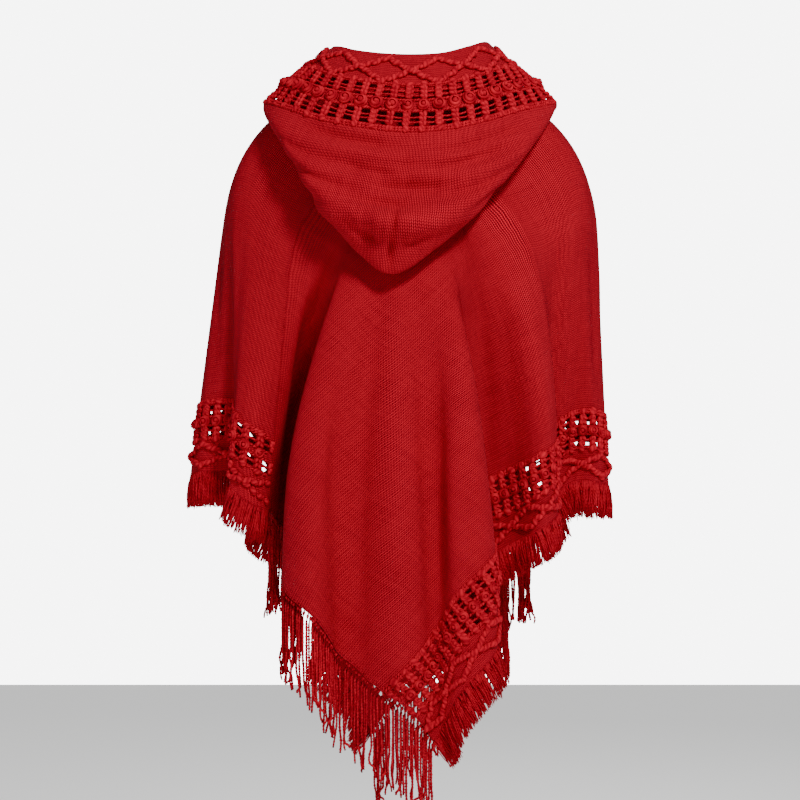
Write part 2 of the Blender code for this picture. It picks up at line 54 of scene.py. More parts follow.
# Where the folds of the hem hang: share of the edge, x, y. The free end runs from the back seam
# to the back corner, and the outer long side runs on from there round to the front.
endFolds = (
    (0.000, -0.166, -0.085), (0.160, -0.166, -0.018), (0.205, -0.152, 0.000),
    (0.250, -0.137, -0.018), (0.340, -0.128, -0.066), (0.515, -0.143, -0.148),
    (0.600, -0.108, -0.170), (0.685, -0.082, -0.159), (0.735, -0.066, -0.144),
    (0.775, -0.050, -0.142), (0.815, -0.034, -0.153), (0.860, -0.010, -0.168),
    (0.935, 0.022, -0.172),
)
sideFolds = (
    (0.000, 0.040, -0.162), (0.110, 0.080, -0.184), (0.160, 0.110, -0.179),
    (0.192, 0.119, -0.163), (0.232, 0.110, -0.144), (0.330, 0.062, -0.108),
    (0.475, 0.116, -0.066), (0.525, 0.146, -0.072), (0.570, 0.172, -0.090),
    (0.635, 0.200, -0.064), (0.680, 0.192, -0.024), (0.720, 0.218, -0.010),
    (0.765, 0.252, -0.014), (0.810, 0.272, 0.012), (0.848, 0.258, 0.044),
    (0.880, 0.228, 0.052), (0.900, 0.211, 0.060), (0.920, 0.212, 0.078),
    (0.944, 0.214, 0.098), (0.966, 0.197, 0.108), (0.986, 0.178, 0.100),
)
shoulder = (
    (0.000, -0.146, -0.100), (0.194, -0.068, -0.122), (0.389, 0.000, -0.128),
    (0.583, 0.068, -0.122), (0.778, 0.146, -0.100), (0.833, 0.222, -0.048),
    (0.889, 0.240, 0.000), (0.944, 0.222, 0.048),
)


def cubic(rows, at):
    places, points = rows[:, 0], rows[:, 1:]
    step = np.diff(places)
    chord = np.diff(points, axis=0) / step[:, None]
    slope = np.empty_like(points)
    share = (step[1:] / (step[1:] + step[:-1]))[:, None]
    slope[1:-1] = chord[:-1] * share + chord[1:] * (1 - share)
    slope[0], slope[-1] = chord[0], chord[-1]
    k = np.clip(np.searchsorted(places, at, side="right") - 1, 0, len(step) - 1)
    h = step[k][:, None]
    t = ((at - places[k]) / step[k])[:, None]
    return (
        (2 * t**3 - 3 * t**2 + 1) * points[k]
        + (t**3 - 2 * t**2 + t) * h * slope[k]
        + (3 * t**2 - 2 * t**3) * points[k + 1]
        + (t**3 - t**2) * h * slope[k + 1]
    )


def repeated(table):
    turned = table * (1, -1, -1)
    return np.concatenate([turned - (roundHem, 0, 0), table, turned + (roundHem, 0, 0)])


hemRows = repeated(np.concatenate([
    np.array(endFolds) * (cut["width"], 1, 1),
    np.array(sideFolds) * (cut["length"], 1, 1) + (cut["width"], 0, 0),
]))
shoulderRows = repeated(np.array(shoulder) * (roundHem, 1, 1))


def smooth(t):
    t = np.clip(t, 0, 1)
    return t * t * (3 - 2 * t)


def unit(vectors):
    return vectors / np.maximum(np.linalg.norm(vectors, axis=-1, keepdims=True), 1e-12)


def stand(points):
    x, y, z = points.T
    z = z - cut["forwardTilt"] * y - cut["roll"] * x
    x = x + cut["swayAtNeck"] + cut["sway"] * np.maximum(z, -cut["swayDepth"])
    return np.stack([x, y, z], 1)


def neckRing(turn):
    side = np.abs(np.sin(turn))
    z = cut["neckCornerZ"] + (cut["neckSideZ"] - cut["neckCornerZ"]) * side
    return np.stack([cut["neckHalfX"] * np.sin(turn), -cut["neckHalfY"] * np.cos(turn), z], 1)


def neckTurn(around):
    return np.clip((around - 2 * cut["width"]) / cut["neckEdge"], 0, 1) * math.pi


def runToHem(around):
    side = np.clip(2 * cut["width"] - around, 0, None)
    return np.hypot(cut["width"], np.where(around < cut["width"], around, side))


def planOf(around, run):
    neck = neckRing(neckTurn(around))[:, :2]
    top, hem = cubic(shoulderRows, around), cubic(hemRows, around)
    share = (around - 2 * cut["width"]) / cut["neckEdge"]
    overSide = smooth(cut["sideSpan"] * (1 - np.abs(share * 2 - 1)))
    t = np.clip(run / cut["shoulderRun"], 0, 1)
    out = (1 - overSide) * t + overSide * (1 - (1 - t) ** cut["sideEase"])
    down = (run - cut["shoulderRun"]) / (runToHem(around) - cut["shoulderRun"])
    down = np.clip(down, 0, cut["pastHem"])
    early = smooth(np.minimum(around, roundHem - around) / cut["foldStart"]) * (1 - overSide)
    down = down + early * (1 - (1 - np.minimum(down, 1)) ** cut["foldEase"] - down)
    return neck + (top - neck) * out[:, None] + (hem - top) * down[:, None]


def roundedPlan(around, run):
    reach = np.minimum(cut["shoulderRounding"], np.abs(run))
    weights = ((-1, 1), (-0.5, 2), (0, 3), (0.5, 2), (1, 1))
    plans = sum(weight * planOf(around, run + k * reach) for k, weight in weights)
    return plans / sum(weight for _, weight in weights)


def aroundAndRun(x, y):
    width = cut["width"]
    fan, out = x < width, width - x
    side = np.where(fan, 2 * width - out * width / np.maximum(y, 1e-9), width + x)
    end = y * width / np.maximum(out, 1e-9)
    around = np.clip(np.where(~fan | (y >= out), side, end), 0, roundHem)
    return around, np.where(fan, np.hypot(out, y), y)


# Flat cloth to space. Each line down keeps its length: what it doesn't go out, it drops.
def drape(x, y, left):
    around, run = aroundAndRun(x, y)
    z = neckRing(neckTurn(around))[:, 2]
    before = roundedPlan(around, 0 * run)
    steps = cut["steps"]
    for k in range(1, steps + 1):
        here = roundedPlan(around, run * k / steps)
        step = (run / steps) ** 2
        drop = step - ((here - before) ** 2).sum(1)
        z = z - np.sqrt(np.maximum(drop, cut["leastDrop"] * step))
        before = here
    points = np.column_stack([before, z])
    return stand(points * (-1, -1, 1) if left else points)


# A draped sheet as a grid of places. a runs along the edged side and b away from it, and
# a, b and the right side's outward direction are right-handed.
class Cloth:
    def __init__(self, aLines, bLines, points):
        self.aLines, self.bLines, self.points = aLines, bLines, points

    def outward(self):
        along, away = np.gradient(self.points, axis=0), np.gradient(self.points, axis=1)
        return unit(np.cross(along, away))

    def at(self, a, b):
        i = np.interp(a, self.aLines, np.arange(len(self.aLines)))
        j = np.interp(b, self.bLines, np.arange(len(self.bLines)))
        i0 = np.clip(i.astype(int), 0, len(self.aLines) - 2)
        j0 = np.clip(j.astype(int), 0, len(self.bLines) - 2)
        s, t = (i - i0)[:, None], (j - j0)[:, None]
        p = self.points
        low = p[i0, j0] * (1 - s) + p[i0 + 1, j0] * s
        high = p[i0, j0 + 1] * (1 - s) + p[i0 + 1, j0 + 1] * s
        return low * (1 - t) + high * t

    # Places on the cloth, and at each one the ways along it, away from its edge and out of it.
    def frames(self, a, b, reach=0.003):
        a, b = np.broadcast_arrays(np.asarray(a, float), np.asarray(b, float))
        aLow, aHigh = np.clip([a - reach, a + reach], self.aLines[0], self.aLines[-1])
        bLow, bHigh = np.clip([b - reach, b + reach], self.bLines[0], self.bLines[-1])
        along = unit(self.at(aHigh, b) - self.at(aLow, b))
        away = self.at(a, bHigh) - self.at(a, bLow)
        out = unit(np.cross(along, away))
        return self.at(a, b), along, np.cross(out, along), out


# Soft creases: where each starts and ends on the flat cloth, how wide it is, and
# how far it rises, or sinks where that is negative.
def creaseRise(creases, a, b, fade=0.35):
    rise = 0 * a
    for startA, startB, endA, endB, halfWidth, height in creases:
        runA, runB = endA - startA, endB - startB
        length = math.hypot(runA, runB)
        share = ((a - startA) * runA + (b - startB) * runB) / length**2
        beside = ((a - startA) * runB - (b - startB) * runA) / length
        fading = smooth(share / fade) * smooth((1 - share) / fade)
        rise = rise + height * fading * np.exp(-((beside / halfWidth) ** 2))
    return rise


# One wire of a shader: sums are written as on paper, and node() adds any other kind of node.
class Wire:
    def __init__(self, tree, socket):
        self.tree, self.socket = tree, socket

    def node(self, kind, settings=None, sockets=None, output=0):
        made = self.tree.nodes.new(kind)
        for name, value in (settings or {}).items():
            if name == "stops":
                ramp = made.color_ramp.elements
                while len(ramp) < len(value):
                    ramp.new(0.5)
                for stop, (place, colour) in zip(ramp, value):
                    stop.position, stop.color = place, colour
            else:
                setattr(made, name, value)
        for name, value in (sockets or {}).items():
            if isinstance(value, Wire):
                self.tree.links.new(value.socket, made.inputs[name])
            else:
                made.inputs[name].default_value = value
        return Wire(self.tree, made.outputs[output])

    def maths(self, operation, *values):
        return self.node("ShaderNodeMath", {"operation": operation}, dict(enumerate(values)))

    def __add__(self, other):
        return self.maths("ADD", self, other)

    def __radd__(self, other):
        return self.maths("ADD", other, self)

    def __sub__(self, other):
        return self.maths("SUBTRACT", self, other)

    def __rsub__(self, other):
        return self.maths("SUBTRACT", other, self)

    def __mul__(self, other):
        return self.maths("MULTIPLY", self, other)

    def __rmul__(self, other):
        return self.maths("MULTIPLY", other, self)

    def __truediv__(self, other):
        return self.maths("DIVIDE", self, other)

    def __abs__(self):
        return self.maths("ABSOLUTE", self)

    def fraction(self):
        return self.maths("FRACT", self)

    def clamped(self):
        return self.maths("MINIMUM", self.maths("MAXIMUM", self, 0.0), 1.0)

    def sine(self):
        return self.maths("SINE", self)


# The ramp's reds: deep for painted shade in grooves, body for the yarn's own red, lit for a painted
# highlight on raised yarn; the yarn's uneven tone spreads over all three.
reds = {
    "deep": (0.050, 0.0006, 0.0024, 1), "body": (0.350, 0.0040, 0.0145, 1),
    "lit": (0.760, 0.0150, 0.0350, 1),
    "surface": {
        "Sheen Weight": 0.04, "Sheen Roughness": 0.5, "Sheen Tint": (1.0, 0.10, 0.14, 1),
        "Specular IOR Level": 0.05,
    },
}


def newFinish(name, surface):
    material = bpy.data.materials.new(name)
    material.use_nodes = True
    shader = material.node_tree.nodes["Principled BSDF"]
    for socket, value in surface.items():
        shader.inputs[socket].default_value = value
    return material, Wire(material.node_tree, shader.outputs[0])


# A piece's own map, and the two numbers in it.
def mapOf(start, name):
    flat = start.node("ShaderNodeUVMap", {"uv_map": name})
    u = start.node("ShaderNodeSeparateXYZ", None, {0: flat})
    return flat, u, Wire(start.tree, u.socket.node.outputs[1])


def noise(start, place, scale, detail, roughness=0.5):
    sockets = {"Vector": place, "Scale": scale, "Detail": detail, "Roughness": roughness}
    return start.node("ShaderNodeTexNoise", None, sockets)


# Colours the yarn by a shade from 0 to 1, which holds painted shade and painted highlight from
# the stitches and plies as well as the yarn's uneven tone, and raises it by a height in metres.
def dyeWithPaintedShade(start, shade, height):
    stops = ((0.0, reds["deep"]), (0.5, reds["body"]), (1.0, reds["lit"]))
    colour = start.node("ShaderNodeValToRGB", {"stops": stops}, {0: shade.clamped()})
    bump = {"Strength": 1.0, "Distance": 1.0, "Height": height}
    normal = start.node("ShaderNodeBump", None, bump)
    shader = start.tree.nodes["Principled BSDF"]
    start.tree.links.new(colour.socket, shader.inputs["Base Color"])
    start.tree.links.new(normal.socket, shader.inputs["Normal"])


knit = {
    "roughness": 0.95, "wale": 0.0031, "course": 0.0028, "slant": 0.8, "legPower": 0.9, "dip": 0.40,
    "driftScale": 42.0, "waleDrift": 0.8, "courseDrift": 0.7, "fuzzScale": 2200.0,
    "rowScale": (16.0, 330.0), "waleScale": (270.0, 14.0), "patchScale": (22.0, 22.0),
    "stitchShade": 1.50, "rowShade": 0.22, "waleShade": 0.24, "patchShade": 0.20, "fuzzShade": 0.70,
    "darker": 0.98, "depth": 0.0008, "fuzzDepth": 0.0002, "rowDepth": 0.0006,
}


# Stocking stitch over the piece's own flat cloth: two slanted legs to each wale, and rows and
# wales of uneven yarn. The grooves between legs and loops get painted shade, and the raised legs
# get a lighter painted highlight.
def knitFinish(name):
    material, start = newFinish(name, {"Roughness": knit["roughness"], **reds["surface"]})
    flat, u, v = mapOf(start, "cloth")
    drift = noise(start, flat, knit["driftScale"], 2.0) - 0.5
    across = abs((u / knit["wale"] + drift * knit["waleDrift"]).fraction() - 0.5)
    leg = (1 - (across * 4 - 1) * (across * 4 - 1)).clamped()
    course = v / knit["course"] + across * knit["slant"] * 2 + drift * knit["courseDrift"]
    alongLoop = course.fraction() * 2 - 1
    loop = 1 - alongLoop * alongLoop
    stitch = leg.maths("POWER", leg, knit["legPower"]) * (knit["dip"] + loop * (1 - knit["dip"]))

    def unevenness(scales, detail):
        place = start.node("ShaderNodeCombineXYZ", None, {0: u * scales[0], 1: v * scales[1]})
        return noise(start, place, 1.0, detail)

    rows, wales = unevenness(knit["rowScale"], 1.0), unevenness(knit["waleScale"], 1.0)
    patch = unevenness(knit["patchScale"], 4.0)
    fuzz = noise(start, flat, knit["fuzzScale"], 3.0, 0.7)
    # painted shade and painted highlight: the stitch term darkens the grooves and lightens the
    # raised legs
    shade = stitch * knit["stitchShade"] + rows * knit["rowShade"] + wales * knit["waleShade"]
    shade = shade + patch * knit["patchShade"] + fuzz * knit["fuzzShade"] - knit["darker"]
    height = stitch * knit["depth"] + fuzz * knit["fuzzDepth"] + rows * knit["rowDepth"]
    dyeWithPaintedShade(start, shade, height)
    return material


spinning = {
    "roughness": 0.92, "plies": 2, "turnsPerMetre": 210, "fuzzScale": 1900.0, "patchScale": 90.0,
    "strandScale": 60, "plyShade": 0.30, "fuzzShade": 0.40, "patchShade": 0.35, "strandShade": 0.50,
    "darker": 0.16, "plyDepth": 0.00016, "fuzzDepth": 0.00012,
}


# Twisted yarn: its own u goes once round each strand and v along it in metres. The plies get
# painted shade in the grooves between them and a painted highlight on their crests.
def yarnFinish(name):
    material, start = newFinish(name, {"Roughness": spinning["roughness"], **reds["surface"]})
    _, u, v = mapOf(start, "yarn")
    turns = u * spinning["plies"] + v * spinning["turnsPerMetre"]
    ply = (turns * (2 * math.pi)).sine() * 0.5 + 0.5
    place = start.node("ShaderNodeTexCoord", output="Object")
    fuzz = noise(start, place, spinning["fuzzScale"], 3.0, 0.7)
    patch = noise(start, place, spinning["patchScale"], 3.0)
    along = start.node("ShaderNodeCombineXYZ", None, {1: v * spinning["strandScale"]})
    strand = noise(start, along, 1.0, 1.0)
    # painted shade and painted highlight: the ply wave darkens the grooves between plies and
    # lightens their crests
    shade = ply * spinning["plyShade"] + fuzz * spinning["fuzzShade"] - spinning["darker"]
    shade = shade + patch * spinning["patchShade"] + strand * spinning["strandShade"]
    dyeWithPaintedShade(start, shade, ply * spinning["plyDepth"] + fuzz * spinning["fuzzDepth"])
    return material


knitted, spun = knitFinish("knittedRed"), yarnFinish("spunRed")
print("finishes made")


# uvs holds a pair of numbers for each corner of each face, under the name its finish reads.
def newPiece(name, points, faces, mapName, uvs, material):
    mesh = bpy.data.meshes.new(name)
    mesh.from_pydata(points.tolist(), [], faces)
    layer = mesh.uv_layers.new(name=mapName)
    layer.data.foreach_set("uv", uvs.astype(np.float32).ravel())
    mesh.materials.append(material)
    piece = bpy.data.objects.new(name, mesh)
    bpy.context.scene.collection.objects.link(piece)
    return piece


def choose(piece):
    for other in bpy.context.selected_objects:
        other.select_set(False)
    bpy.context.view_layer.objects.active = piece
    piece.select_set(True)


def gridFaces(keep):
    i, j = np.nonzero(keep)
    columns = keep.shape[1] + 1
    first = i * columns + j
    return np.stack([first, first + columns, first + columns + 1, first + 1], 1)


# A sheet of the grid's faces that are kept, with its wall on the inside.
def clothPiece(name, cloth, keep, flat):
    faces = gridFaces(keep)
    used, numbers = np.unique(faces, return_inverse=True)
    faces = numbers.reshape(faces.shape)
    uvs = flat.reshape(-1, 2)[used][faces.ravel()]
    points = cloth.points.reshape(-1, 3)[used]
    piece = newPiece(name, points, faces.tolist(), "cloth", uvs, knitted)
    choose(piece)
    wall = piece.modifiers.new("wall", "SOLIDIFY")
    wall.thickness, wall.offset = cut["wall"], -1
    bpy.ops.object.modifier_apply(modifier=wall.name)
    bpy.ops.object.shade_smooth_by_angle(angle=math.radians(55))
    return piece


# Openwork bands, by their distance from the edge. Gaps are cut between posts of cloth.
hemBand = {
    "count": 54, "gap": 0.0082, "spans": ((0.046, 0.059), (0.073, 0.086)), "top": 0.092,
    "bobbleAt": 0.066, "diamonds": (0.009, 0.036), "stretch": 1.0,
}
hemBand["pitch"] = cut["length"] / hemBand["count"]


def columnLines(band, low, high):
    post = (1 - band["gap"] / band["pitch"]) / 2
    shares = np.array([0, post / 2, post, 0.5, 1 - post, 1 - post / 2])
    lines = (np.arange(low, high)[:, None] + shares).ravel() * band["pitch"]
    return np.concatenate([lines, [high * band["pitch"]]])


def bandLines(band):
    (near, far), (nearTwo, farTwo) = band["spans"]
    stops = (0.0, band["diamonds"][0], near, far, nearTwo, farTwo, band["top"])
    counts = (3, 8, 3, 4, 3, 2)  # lines from each stop to the next
    layers = [np.linspace(a, b, n, endpoint=False) for a, b, n in zip(stops, stops[1:], counts)]
    return np.concatenate(layers)


def gapMask(band, aLines, bLines):
    middleA = (aLines[1:] + aLines[:-1]) / 2 / band["pitch"]
    middleB = (bLines[1:] + bLines[:-1]) / 2
    inGap = np.abs(middleA - np.floor(middleA) - 0.5) < band["gap"] / band["pitch"] / 2
    inSpan = np.zeros(len(middleB), bool)
    for near, far in band["spans"]:
        inSpan |= (middleB > near) & (middleB < far)
    return inGap[:, None] & inSpan[None, :]


# From the hem or the free end up towards the shoulder.
panelCreases = (
    (-0.120, 0.060, 0.330, 0.430, 0.015, -0.0075), (-0.050, 0.200, 0.250, 0.400, 0.018, 0.0040),
    (0.000, 0.090, 0.400, 0.420, 0.022, 0.0035), (0.030, 0.030, 0.450, 0.410, 0.016, -0.0080),
    (0.100, 0.040, 0.470, 0.400, 0.016, 0.0045), (0.060, 0.200, 0.230, 0.350, 0.009, -0.0016),
    (0.200, 0.230, 0.380, 0.400, 0.010, -0.0018), (0.330, 0.090, 0.470, 0.340, 0.015, -0.0045),
    (0.430, 0.060, 0.500, 0.360, 0.014, -0.0045), (0.530, 0.020, 0.545, 0.400, 0.014, 0.0040),
    (0.600, 0.060, 0.600, 0.360, 0.012, -0.0040), (0.680, 0.080, 0.660, 0.350, 0.012, -0.0035),
    (0.760, 0.060, 0.740, 0.360, 0.013, -0.0045), (0.810, 0.060, 0.790, 0.380, 0.012, 0.0040),
    (0.700, 0.200, 0.690, 0.400, 0.010, 0.0022),
)


def panelCloth(left):
    aLines = columnLines(hemBand, 0, hemBand["count"])
    aLines[-1] = cut["length"] - cut["seamInset"]
    field = np.linspace(hemBand["top"], cut["width"] - cut["seamInset"], cut["fieldLines"])
    bLines = np.concatenate([bandLines(hemBand), field])
    a, b = np.meshgrid(aLines, bLines, indexing="ij")
    points = drape(a.ravel(), cut["width"] - b.ravel(), left).reshape(*a.shape, 3)
    cloth = Cloth(aLines, bLines, points)
    cloth.points = points + cloth.outward() * creaseRise(panelCreases, a, b)[..., None]
    return cloth


def panelPiece(name, cloth):
    keep = ~gapMask(hemBand, cloth.aLines, cloth.bLines)
    flat = np.stack(np.meshgrid(cloth.aLines, cloth.bLines, indexing="ij"), -1)
    return clothPiece(name, cloth, keep, flat)


panelCloths = {"Right": panelCloth(False), "Left": panelCloth(True)}
panels = {side: panelPiece(f"panel{side}", cloth) for side, cloth in panelCloths.items()}
print("panels draped")

# The hood: share of the way from the nape to the front corner (left is negative), the fold's
# x, y, z, the face edge's x, y, z, and how far the pouch between its two layers swells.
hoodFolds = np.array((
    (-0.97, -0.013, 0.098, -0.058, -0.012, 0.098, -0.046, 0.0005),
    (-0.88, -0.058, 0.108, -0.060, -0.040, 0.092, -0.030, 0.003),
    (-0.72, -0.122, 0.082, -0.054, -0.082, 0.066, 0.002, 0.006),
    (-0.57, -0.165, 0.030, -0.040, -0.100, 0.026, 0.030, 0.008),
    (-0.44, -0.184, -0.040, -0.046, -0.102, -0.018, 0.044, 0.010),
    (-0.33, -0.163, -0.098, -0.086, -0.091, -0.060, 0.040, 0.012),
    (-0.22, -0.126, -0.133, -0.151, -0.068, -0.084, 0.031, 0.015),
    (-0.11, -0.080, -0.148, -0.211, -0.034, -0.096, 0.025, 0.018),
    (0.00, -0.026, -0.154, -0.256, 0.004, -0.100, 0.023, 0.018),
    (0.11, 0.034, -0.149, -0.222, 0.041, -0.095, 0.026, 0.018),
    (0.22, 0.092, -0.136, -0.168, 0.074, -0.079, 0.037, 0.015),
    (0.33, 0.144, -0.106, -0.104, 0.096, -0.052, 0.047, 0.012),
    (0.44, 0.181, -0.042, -0.046, 0.106, -0.010, 0.046, 0.010),
    (0.57, 0.166, 0.030, -0.042, 0.101, 0.032, 0.026, 0.008),
    (0.72, 0.122, 0.082, -0.056, 0.080, 0.068, -0.001, 0.006),
    (0.88, 0.058, 0.108, -0.062, 0.038, 0.092, -0.032, 0.003),
    (0.97, 0.013, 0.098, -0.059, 0.012, 0.098, -0.047, 0.0005),
))
hood = {
    "half": 0.34, "end": 0.97, "seamGap": 0.0003, "lift": 0.018, "steepest": 0.3,
    "napeStand": 0.052, "napeSpread": 0.30, "turns": 241, "flat": (0.94, 0.26),
    "foldLine": 0.36, "overLines": 72, "deepest": 0.59, "underLines": 34, "ringShare": 0.6,
    "bandShare": 0.8, "gapMargin": 0.020,
    "clearance": 0.0055, "clearFrom": 0.001, "clearOver": 0.02,
}
faceBand = {
    "count": 24, "gap": 0.0082, "spans": ((0.049, 0.067), (0.086, 0.105)), "top": 0.113,
    "bobbleAt": 0.0765, "diamonds": (0.008, 0.044), "stretch": 1.375,
}
faceBand["pitch"] = hood["half"] / faceBand["count"]

# The roll at the neck by how far it is up and out from its crest, as shares of its lift, and the
# outer layer by its share of the way from the fold to the face edge and how far it swells there.
neckRoll = ((-0.45, 0.05), (0.0, 0.40), (-0.35, 0.80))
outerLayer = ((0.10, 1.25), (0.38, 1.60), (0.72, 1.10))
underLayer = {"share": 0.42, "rise": 0.50, "reach": 0.35, "foldShare": 0.85, "foldPinch": 0.15}


# From the neck seam under the hood to its fold, and back over it to the face edge.
def hoodProfiles(turn):
    rows = cubic(hoodFolds, turn)
    fold, face, pouch = rows[:, :3], rows[:, 3:6], rows[:, 6:7]
    out = np.stack([np.sin(math.pi * turn), -np.cos(math.pi * turn), 0 * turn], 1)
    up = np.array([0, 0, 1.0])
    neck = stand(neckRing(turn * math.pi)) + (up - out) * hood["seamGap"]
    fall = np.linalg.norm(fold - neck, axis=1)[:, None]
    lift = np.minimum(hood["lift"], hood["steepest"] * fall)
    atNape = np.exp(-((turn / hood["napeSpread"]) ** 2))[:, None]
    crest = neck + up * (lift + (hood["napeStand"] - hood["lift"]) * atNape)
    roll = [crest + (rise * up + reach * out) * lift for rise, reach in neckRoll]
    bulge = (underLayer["rise"] * up + underLayer["reach"] * out) * lift
    under = neck + (fold - neck) * underLayer["share"] + bulge
    lowIn = neck + (fold - neck) * underLayer["foldShare"] - out * pouch * underLayer["foldPinch"]
    outer = [fold + (face - fold) * share + out * pouch * swell for share, swell in outerLayer]
    return np.stack([neck, *roll, under, lowIn, fold, *outer, face], 1)


def profileLengths(profiles):
    steps = np.linalg.norm(np.diff(profiles, axis=1), axis=2)
    return np.concatenate([np.zeros((len(steps), 1)), np.cumsum(steps, axis=1)], axis=1)


# Where each distance along the band falls on the way round the neck.
def hoodTurns():
    turn = np.linspace(-hood["end"], hood["end"], hood["turns"])
    profiles = hoodProfiles(turn)
    lengths = profileLengths(profiles)
    fromFace = np.minimum(faceBand["bobbleAt"], hood["ringShare"] * lengths[:, -1])
    ring = np.array([
        cubic(np.column_stack([at, rows]), np.array([at[-1] - v]))[0]
        for rows, at, v in zip(profiles, lengths, fromFace)
    ])
    along = np.concatenate([[0], np.cumsum(np.linalg.norm(np.diff(ring, axis=0), axis=1))])
    along = along - np.interp(0, turn, along)
    share = np.where(along < 0, along / -along[0], along / along[-1])
    return share * hood["half"], turn


# A coarse copy of both rectangles, for the hood to stay clear of.
def panelCover():
    vertices, faces = [], []
    for cloth in panelCloths.values():
        coarse = cloth.points[::3, ::2]
        keep = np.ones((coarse.shape[0] - 1, coarse.shape[1] - 1), bool)
        faces += (gridFaces(keep) + len(vertices)).tolist()
        vertices += coarse.reshape(-1, 3).tolist()
    return BVHTree.FromPolygons(vertices, faces)


# b keeps its true distance over the band where the hood is deep enough, and shrinks to fit
# towards the front corners. Past the band it runs on to the neck seam.
def hoodDistance(bLines, length):
    band = np.minimum(faceBand["top"], hood["bandShare"] * length)
    inBand = np.minimum(bLines / faceBand["top"], 1) * band
    past = np.clip((bLines - faceBand["top"]) / (bLines[-1] - faceBand["top"]), 0, 1)
    return inBand + past * (length - band)


# Across the back of the hood: wrinkles, the dimple in its middle, the roll above its tip, and
# the sewn edge that ends there with its puckers.
hoodCreases = (
    (0.030, 0.182, -0.050, 0.188, 0.0095, -0.0110), (0.060, 0.197, -0.020, 0.212, 0.0080, -0.0084),
    (0.095, 0.124, -0.010, 0.134, 0.0075, -0.0078), (0.050, 0.160, -0.004, 0.172, 0.0065, -0.0065),
    (-0.003, 0.130, -0.004, 0.185, 0.0045, -0.0039), (-0.010, 0.166, -0.105, 0.148, 0.0070, -0.0059),
    (-0.020, 0.204, -0.100, 0.178, 0.0070, -0.0059), (-0.030, 0.228, -0.095, 0.204, 0.0065, -0.0046),
    (-0.015, 0.143, -0.120, 0.128, 0.0065, -0.0052), (0.115, 0.148, 0.025, 0.166, 0.0070, -0.0059),
    (0.105, 0.176, 0.015, 0.197, 0.0070, -0.0059), (0.085, 0.206, 0.014, 0.226, 0.0065, -0.0052),
    (0.070, 0.143, -0.070, 0.150, 0.0065, 0.0039), (-0.030, 0.180, -0.110, 0.162, 0.0065, 0.0039),
    (0.090, 0.190, 0.000, 0.204, 0.0065, 0.0039), (0.080, 0.206, -0.045, 0.246, 0.0160, 0.0140),
    (0.045, 0.246, -0.080, 0.206, 0.0160, 0.0140), (0.000, 0.198, 0.001, 0.300, 0.0024, -0.0080),
    (0.040, 0.220, 0.006, 0.262, 0.0060, -0.0110), (0.024, 0.214, 0.012, 0.256, 0.0045, -0.0078),
    (-0.006, 0.262, -0.030, 0.238, 0.0050, -0.0065), (0.065, 0.238, 0.020, 0.285, 0.0060, 0.0039),
)


def hoodCloth():
    aLines = columnLines(faceBand, -faceBand["count"], faceBand["count"])
    over = np.linspace(faceBand["top"], hood["foldLine"], hood["overLines"], endpoint=False)
    under = np.linspace(hood["foldLine"], hood["deepest"], hood["underLines"])
    bLines = np.concatenate([bandLines(faceBand), over, under])
    share, turn = hoodTurns()
    profiles = hoodProfiles(np.interp(-aLines, share, turn))
    lengths = profileLengths(profiles)
    cover = panelCover()
    points = np.empty((len(aLines), len(bLines), 3))
    distances = np.empty(points.shape[:2])
    for k, (rows, at) in enumerate(zip(profiles, lengths)):
        away = hoodDistance(bLines, at[-1])
        line = cubic(np.column_stack([at, rows]), at[-1] - away)
        clear = hood["clearance"] * smooth((at[-1] - away - hood["clearFrom"]) / hood["clearOver"])
        for j, point in enumerate(line):
            spot, normal, _, _ = cover.find_nearest(point.tolist())
            short = clear[j] - (point - np.array(spot)) @ np.array(normal)
            if short > 0:
                line[j] = point + np.array(normal) * short
        points[k], distances[k] = line, away
    cloth = Cloth(aLines, bLines, points)
    cloth.distances, cloth.lengths = distances, lengths[:, -1]
    rise = creaseRise(hoodCreases, aLines[:, None] + 0 * distances, distances)
    cloth.points = points + cloth.outward() * rise[..., None]
    return cloth


def hoodPiece(cloth):
    deep = cloth.lengths > faceBand["top"] + hood["gapMargin"]
    columns = np.abs((cloth.aLines[1:] + cloth.aLines[:-1]) / 2)
    usable = np.abs(cloth.aLines[deep]).max() // faceBand["pitch"] * faceBand["pitch"]
    keep = ~(gapMask(faceBand, cloth.aLines, cloth.bLines) & (columns < usable)[:, None])
    a = np.repeat(cloth.aLines[:, None], len(cloth.bLines), axis=1)
    flat = np.stack([a * faceBand["stretch"], cloth.distances], -1)
    return clothPiece("hood", cloth, keep, flat), usable


hoodGrid = hoodCloth()
hoodShell, hoodUsable = hoodPiece(hoodGrid)
print("hood draped")


# A small shape is modelled once, then set down on the cloth many times in one joined mesh. Its
# own v runs along the yarn in metres.
def shapeOf(piece, length):
    mesh = piece.data
    points = np.array([vertex.co for vertex in mesh.vertices])
    faces = [list(polygon.vertices) for polygon in mesh.polygons]
    flat = np.zeros(2 * len(mesh.loops))
    mesh.uv_layers[0].data.foreach_get("uv", flat)
    bpy.data.objects.remove(piece)
    return points, faces, flat.reshape(-1, 2) * (1, length)


def makeLump(length, width, height, segments=8, rings=6):
    bpy.ops.object.select_all(action="DESELECT")
    bpy.ops.mesh.primitive_uv_sphere_add(
        segments=segments, ring_count=rings, radius=0.5, rotation=(math.pi / 2, 0, 0))
    lump = bpy.context.object
    bpy.ops.object.transform_apply(rotation=True)
    bpy.ops.object.mode_set(mode="EDIT")
    bpy.ops.mesh.select_all(action="SELECT")
    bpy.ops.transform.resize(value=(width, length, height))
    bpy.ops.object.mode_set(mode="OBJECT")
    return shapeOf(lump, length)


